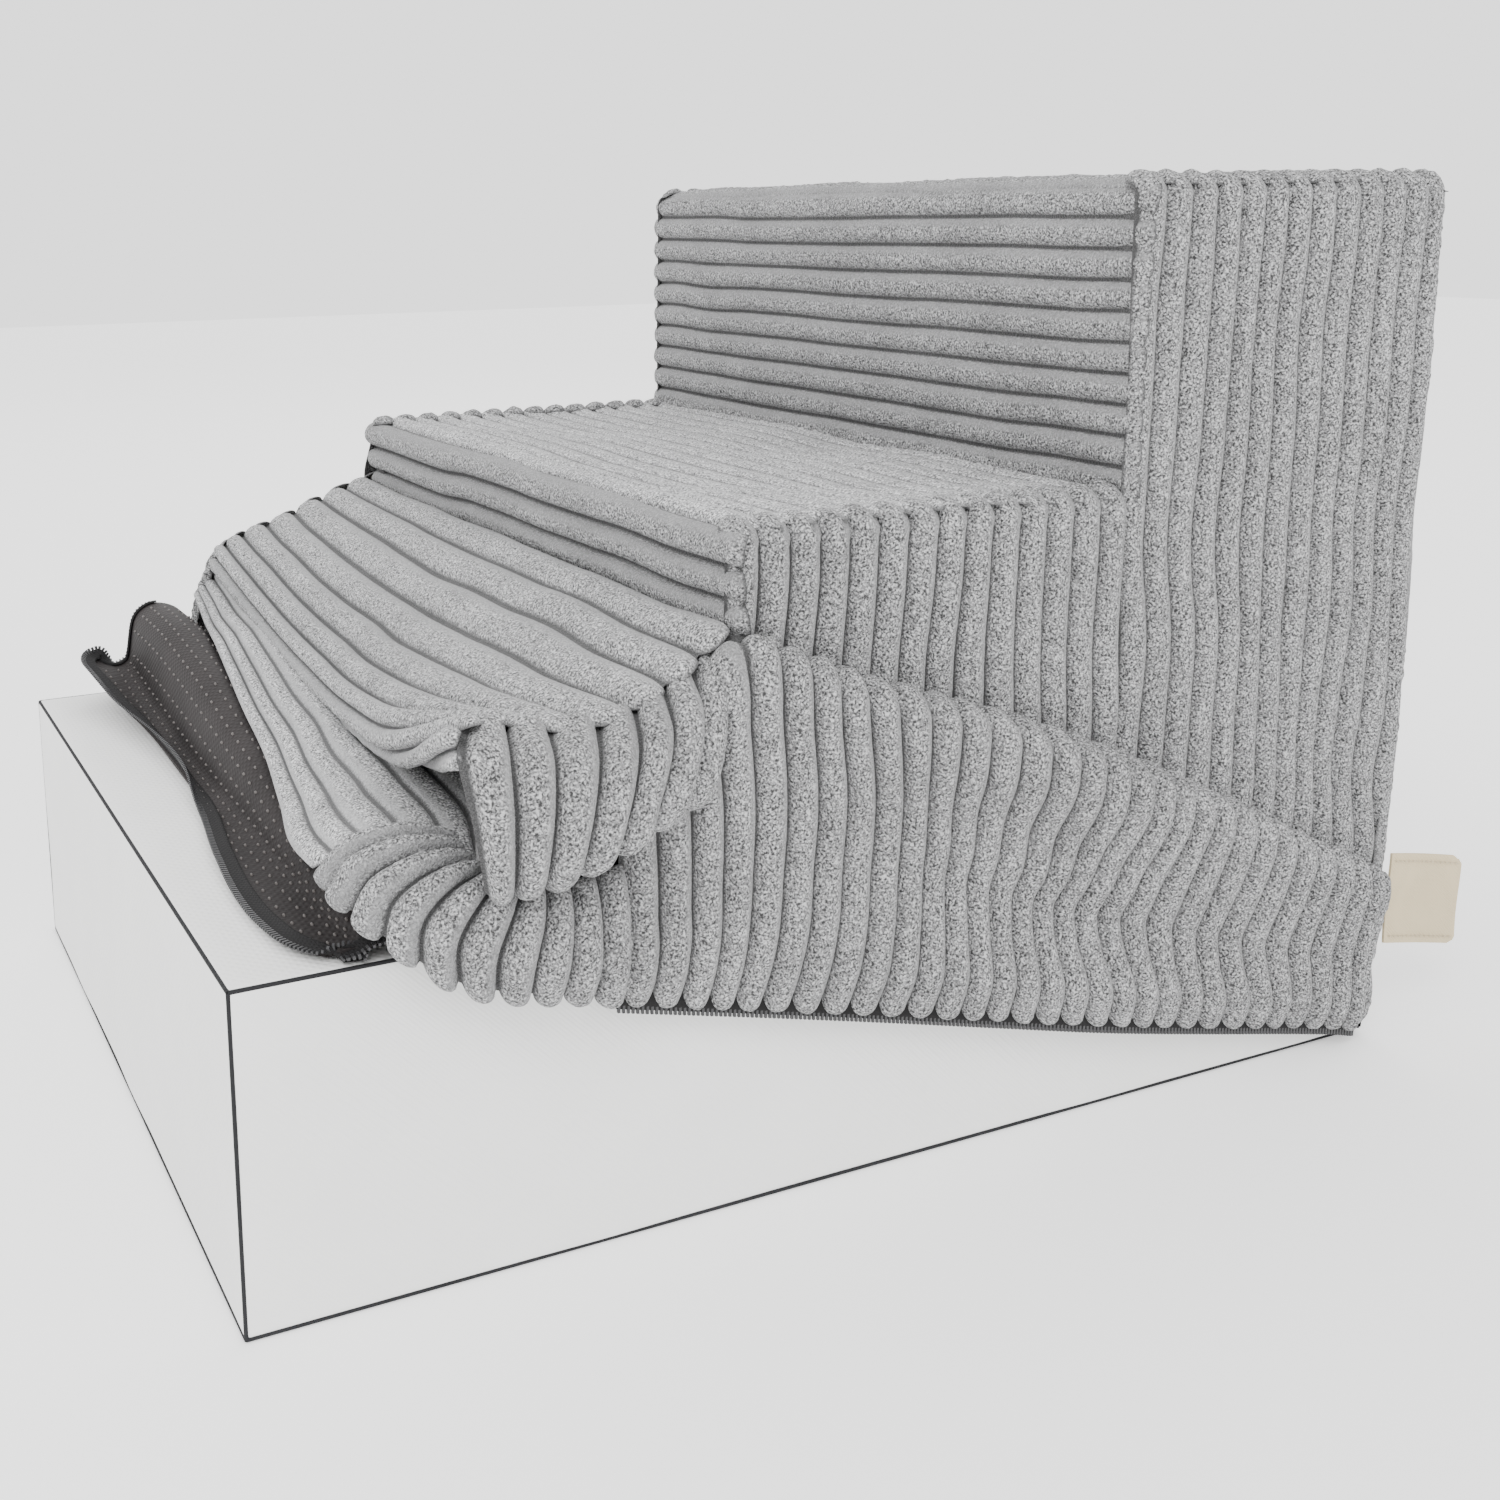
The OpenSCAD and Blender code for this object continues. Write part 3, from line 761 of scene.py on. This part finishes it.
def tube(build, line, radius, around=10):
    """A round tube along points line (n, 3)."""
    line = np.asarray(line, dtype=float)
    tangent = np.gradient(line, axis=0)
    tangent /= np.maximum(np.linalg.norm(tangent, axis=1, keepdims=True), 1e-9)
    helper = np.where(np.abs(tangent[:, 2:3]) > 0.9, np.array([[1.0, 0, 0]]), np.array([[0, 0, 1.0]]))
    side = np.cross(tangent, helper)
    side /= np.linalg.norm(side, axis=1, keepdims=True)
    over = np.cross(side, tangent)
    turn = np.linspace(0, 2 * math.pi, around, endpoint=False)
    ring = line[:, None] + radius * (np.cos(turn)[None, :, None] * side[:, None]
                                     + np.sin(turn)[None, :, None] * over[:, None])
    build.grid(ring, wrap=True, flip=True)
    for end, flip in ((ring[0], False), (ring[-1], True)):
        centre = end.mean(axis=0, keepdims=True)
        build.grid(np.stack([end, np.repeat(centre, around, axis=0)]), wrap=True, flip=flip)


def rounded_box(build, low, high, radius, cells=6):
    """A box with rounded edges."""
    low, high = np.asarray(low, dtype=float), np.asarray(high, dtype=float)
    centre, half = (low + high) / 2, (high - low) / 2
    r = min(radius, *(half * 0.98))
    for axis in range(3):
        u, v = [k for k in range(3) if k != axis]

        def spaced(h):
            turn = np.sin(np.linspace(0, 0.5 * math.pi, 4))
            rim = h - r + r * turn
            inner = np.linspace(-(h - r), h - r, cells + 1)
            return np.concatenate([-rim[::-1], inner[1:-1], rim])
        gu, gv = np.meshgrid(spaced(half[u]), spaced(half[v]), indexing="ij")
        for sign in (-1, 1):
            p = np.zeros(gu.shape + (3,))
            p[..., u], p[..., v], p[..., axis] = gu, gv, sign * half[axis]
            core = np.clip(p, -(half - r), half - r)
            d = p - core
            d /= np.maximum(np.linalg.norm(d, axis=-1, keepdims=True), 1e-9)
            even = (u, v, axis) in ((0, 1, 2), (1, 2, 0), (2, 0, 1))
            build.grid(core + d * r + centre, flip=(sign > 0) == even)


def weld(obj, distance=0.00002):
    import bmesh
    bm = bmesh.new()
    bm.from_mesh(obj.data)
    bmesh.ops.remove_doubles(bm, verts=bm.verts, dist=distance)
    bm.to_mesh(obj.data)
    bm.free()
    return obj


def work(node_name):
    """A CAD node's corners in the work frame, in millimetres."""
    return [(np.array(c) - ORIGIN) * 1000 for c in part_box(node_name)]


def fold_over_lip(obj):
    """Bake a piece of the base sheet's placement into its mesh."""
    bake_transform(obj)


REAR_SHARE, REAR_RUN = 0.2, 384.0


def whole_base(a, b):
    """The base sheet from the rear of the stair (0) to its free edge (1)."""
    p = base_surface(np.clip((a - REAR_SHARE) / (1 - REAR_SHARE), 0, 1), b)
    p[..., 0] += REAR_RUN * np.clip(1 - a / REAR_SHARE, 0, 1)
    return p


build = Build()
thick(build, whole_base, 188, 140, 2.2, flip=True)
base = build.make("base_sheet", BASE)
finish(base, ["base_panel", "base_lip"], None)
fold_over_lip(base)


def surface_frame(surface, a, b):
    """Points on a surface with unit vectors along a, across b, and outward."""
    e = 0.004
    p = surface(a, b)
    da = surface(np.clip(a + e, 0, 1), b) - surface(np.clip(a - e, 0, 1), b)
    db = surface(a, np.clip(b + e, 0, 1)) - surface(a, np.clip(b - e, 0, 1))
    da /= np.maximum(np.linalg.norm(da, axis=-1, keepdims=True), 1e-9)
    db /= np.maximum(np.linalg.norm(db, axis=-1, keepdims=True), 1e-9)
    n = np.cross(db, da)
    return p, da, db, n / np.maximum(np.linalg.norm(n, axis=-1, keepdims=True), 1e-9)


def dots(build, a, b, size):
    """Flat oval rubber dots on the base sheet."""
    p, da, db, n = surface_frame(base_surface, a, b)
    turn = np.linspace(0, 2 * math.pi, 8, endpoint=False)
    for k in range(len(a)):
        oval = 0.55 * np.cos(turn)[:, None] * da[k] + np.sin(turn)[:, None] * db[k]
        rings = [p[k] + n[k] * lift + size * grow * oval
                 for lift, grow in ((-0.3, 1.0), (0.45, 0.95), (0.75, 0.5), (0.8, 0.02))]
        build.grid(np.stack(rings), wrap=True, flip=True)


lines = np.linspace(0.26, 0.955, 13)
build = Build()
for i, a0 in enumerate(lines):
    b0 = np.arange(0.03 + 0.0117 * (i % 2), 0.975, 0.0235)
    dots(build, np.full(len(b0), a0), b0, 1.15)
fold_over_lip(finish(build.make("base_dots", DOTS), [], None))


def teeth(build, line, out, up, pitch=2.0, size=(1.5, 1.0, 1.1)):
    """Zipper teeth along a line: small blocks pointing along out."""
    seg = np.linalg.norm(np.diff(line, axis=0), axis=1)
    s = np.concatenate([[0], np.cumsum(seg)])
    for at in np.arange(pitch, s[-1] - pitch / 2, pitch):
        def read(v):
            return np.array([np.interp(at, s, v[:, k]) for k in range(3)])
        p, o, u = read(line), read(out), read(up)
        t = np.cross(o, u)
        t /= np.linalg.norm(t)
        corner = [(x, y, z) for z in (-1, 1) for x, y in ((-1, -1), (1, -1), (1, 1), (-1, 1))]
        q = np.array([p + o * size[0] * x + t * 0.5 * size[1] * y + u * 0.5 * size[2] * z
                      for x, y, z in corner])
        build.grid(q.reshape(2, 4, 3), wrap=True)
        build.grid(np.array([[q[4], q[5]], [q[7], q[6]]]), flip=True)
        build.grid(np.array([[q[0], q[1]], [q[3], q[2]]]))


def edge_line(count=200):
    """The free edge of the base from the near side, round both corners, with directions."""
    b = np.linspace(0, 1, count)
    a = np.ones(count)
    side_a = np.linspace(0.45, 1, 60)
    near = surface_frame(base_surface, side_a, np.zeros(60))
    front = surface_frame(base_surface, a, b)
    far = surface_frame(base_surface, side_a[::-1], np.ones(60))
    line = np.concatenate([near[0][:-1], front[0], far[0][1:]])
    up = np.concatenate([near[3][:-1], front[3], far[3][1:]])
    tangent = np.gradient(line, axis=0)
    tangent /= np.linalg.norm(tangent, axis=1, keepdims=True)
    out = np.cross(up, tangent)
    out /= np.linalg.norm(out, axis=1, keepdims=True)
    centre = np.array([-300.0, 205.0, 135.0])
    if ((line - centre) * out).sum() < 0:
        out = -out
    return line, out, up


line, out, up = edge_line()
ribbon = [line + out * x + up * z for x, z in (
    (-3.5, 0.8), (-3.0, 1.5), (-2.0, 1.6), (-1.4, 0.9), (2.8, 0.1), (2.8, -0.7), (-1.0, -1.0))]
build = Build()
build.grid(np.stack(ribbon, axis=1), flip=True)
fold_over_lip(finish(build.make("base_zip_tape_half", TAPE), ["lip_zip_tape", "base_zip_tape"], None))
build = Build()
teeth(build, line + out * 3.0 - up * 0.3, out, up)
fold_over_lip(finish(build.make("base_zip_teeth_half", TEETH, smooth=False),
                     ["lip_zip_teeth", "base_zip_teeth"], None))

# zipper half under the near skirt, the far skirt and the back
hem_b = np.linspace(0.0, 1.0, 160)
near_hem = near_skirt(np.ones(160), hem_b)
far_hem = far_skirt(np.ones(160), hem_b)
back_hem = back(np.ones(120), np.linspace(0.01, 0.99, 120))
build, tooth_build = Build(), Build()
for hem, out_dir, drop in ((near_hem, np.array([0, -1.0, 0]), 0.0), (far_hem, np.array([0, 1.0, 0]), 0.0),
                           (back_hem, np.array([1.0, 0, 0]), 6.0)):
    hem = hem.copy()
    hem[:, 2] = np.maximum(hem[:, 2] - drop, 8.2)
    inner = hem - out_dir * 1.0
    up_dir = np.array([0, 0, 1.0])
    low = np.minimum(6.5, inner[:, 2:] - 2.6) * up_dir
    ribbon = [inner + up_dir * 5 + out_dir * 1.2, inner - 0.6 * low + out_dir * 2.2,
              inner - low + out_dir * 2.0, inner - low + out_dir * 1.0, inner + up_dir * 5]
    build.grid(np.stack(ribbon, axis=1), flip=out_dir[1] < 0)
    n = len(hem)
    teeth(tooth_build, inner - low + out_dir * 1.6, np.tile(-up_dir, (n, 1)), np.tile(out_dir, (n, 1)))
finish(build.make("skirt_zip_tape_half", TAPE), ["skirt_zip_tape"], "stair_cover")
finish(tooth_build.make("skirt_zip_teeth_half", TEETH, smooth=False), ["skirt_zip_teeth"], "stair_cover")

# ---------------------------------------------------------------- foam, block, tag, slider
for name, cad, body, radius in (("foam_top", "foam_top_block", "stair_cover", 5),
                                ("foam_middle", "foam_middle_block", "stair_cover", 5),
                                ("foam_bottom", "foam_bottom_block", "bottom_block", 2)):
    build = Build()
    low, high = work(cad)
    rounded_box(build, low + 3, high - 3, radius)
    obj = weld(build.make(name, FOAM))
    finish(obj, [cad], body)

build = Build()
low, high = work("block_piping")
rounded_box(build, low + 0.7, high - 0.7 + [0, 0, 0.3], 2.4, cells=60)
build.points = [p + 0.35 * noise(p, 40, 91)[:, None] * [1, 1, 0.4] for p in build.points]
cloth = weld(build.make("block_cloth", LINER))
finish(cloth, ["block_liner"], "bottom_block")
build = Build()
inset = 1.5
lo, hi = low + inset, high - inset
lo[2] = 0.85
for axis in range(3):
    u, v = [k for k in range(3) if k != axis]
    for su in (lo[u], hi[u]):
        for sv in (lo[v], hi[v]):
            line = np.zeros((40, 3))
            line[:, axis] = np.linspace(lo[axis], hi[axis], 40)
            line[:, u], line[:, v] = su, sv
            tube(build, line, 0.85)
finish(build.make("block_edge_piping", PIPING), ["block_piping"], "bottom_block")


def tag_surface(a, b):
    """a out from the seam, b up."""
    x = 1.0 + 49 * a
    corner = np.clip((np.abs(b - 0.5) - 0.42) / 0.08, 0, 1) * np.clip((a - 0.9) / 0.1, 0, 1)
    z = 46 + 44 * b - 10 * a - 2.0 * corner * np.sign(b - 0.5)
    y = 1.9 + 2.2 * np.sin(a * 2.6) * (0.6 + 0.4 * b) + 0.5 * np.sin(b * 5)
    return stack(x - 1.5 * corner, y, z)


build = Build()
thick(build, tag_surface, 60, 50, 1.1)
tag = finish(build.make("sewn_tag", TAG), ["label_tag"], "tag")
build = Build()
for b0 in (0.08, 0.92):
    for k in range(14):
        a0 = np.linspace(0.05 + k * 0.065, 0.05 + k * 0.065 + 0.04, 5)
        p, _, _, n = surface_frame(tag_surface, a0, np.full(5, b0))
        for sgn in (1, -1):
            tube(build, p + [0, 0.55 * sgn - 0.45, 0], 0.28, around=6)
stitch = finish(build.make("tag_stitches", TAG_THREAD), [], "tag")

for cad in ("zip_slider", "zip_pull_tab"):
    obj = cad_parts[cad]
    obj.data.materials.clear()
    obj.data.materials.append(METAL)

# ---------------------------------------------------------------- camera, light, floor
FORWARD_YAW, PITCH, ROLL = math.radians(24.518), math.radians(11.498), math.radians(-0.781)
forward = Vector((math.sin(FORWARD_YAW) * math.cos(PITCH), math.cos(FORWARD_YAW) * math.cos(PITCH),
                  -math.sin(PITCH)))
right = Vector((math.cos(FORWARD_YAW), -math.sin(FORWARD_YAW), 0))
up = right.cross(forward)
right, up = (right * math.cos(ROLL) + up * math.sin(ROLL), up * math.cos(ROLL) - right * math.sin(ROLL))
camera = bpy.data.objects.new("camera", bpy.data.cameras.new("camera"))
bpy.context.collection.objects.link(camera)
eye = np.array([-665.0, -524.4, 383.0]) * 0.001 + ORIGIN
camera.matrix_world = Matrix(((right.x, up.x, -forward.x, eye[0]), (right.y, up.y, -forward.y, eye[1]),
                              (right.z, up.z, -forward.z, eye[2]), (0, 0, 0, 1)))
camera.data.sensor_width = 36.0
camera.data.lens = 41.65
camera.data.shift_x, camera.data.shift_y = 0.1364, -0.1213
camera.data.clip_start, camera.data.clip_end = 0.02, 30
bpy.context.scene.camera = camera


def area(name, at, target, size, power):
    lamp = bpy.data.objects.new(name, bpy.data.lights.new(name, "AREA"))
    lamp.data.shape = "DISK"
    lamp.data.size = size
    lamp.data.energy = power
    lamp.location = at
    lamp.rotation_euler = (Vector(target) - Vector(at)).to_track_quat("-Z", "Y").to_euler()
    bpy.context.collection.objects.link(lamp)


area("key", (-1.6, -1.9, 2.3), (0, 0, 0.2), 1.3, 48)
area("fill", (1.5, -2.4, 1.4), (0, 0, 0.2), 1.8, 9)
area("back", (0.8, 2.2, 2.2), (0, 0, 0.2), 1.6, 14)
world = bpy.data.worlds.new("studio")
bpy.context.scene.world = world
world.use_nodes = True
world.node_tree.nodes["Background"].inputs["Color"].default_value = (1.0, 1.0, 1.0, 1)
world.node_tree.nodes["Background"].inputs["Strength"].default_value = 1.9
floor_mesh = bpy.data.meshes.new("floor")
reach = 6.0
floor_mesh.from_pydata([(-reach, -reach, 0), (reach, -reach, 0), (reach, reach, 0), (-reach, reach, 0)], [],
                       [(0, 1, 2, 3)])
floor = bpy.data.objects.new("floor", floor_mesh)
floor_mat, _, floor_shader = material("floor", (0.9, 0.9, 0.9), 0.8)
floor_shader.inputs["Emission Color"].default_value = (1, 1, 1, 1)
floor_shader.inputs["Emission Strength"].default_value = 0.45
floor_mesh.materials.append(floor_mat)
bpy.context.collection.objects.link(floor)
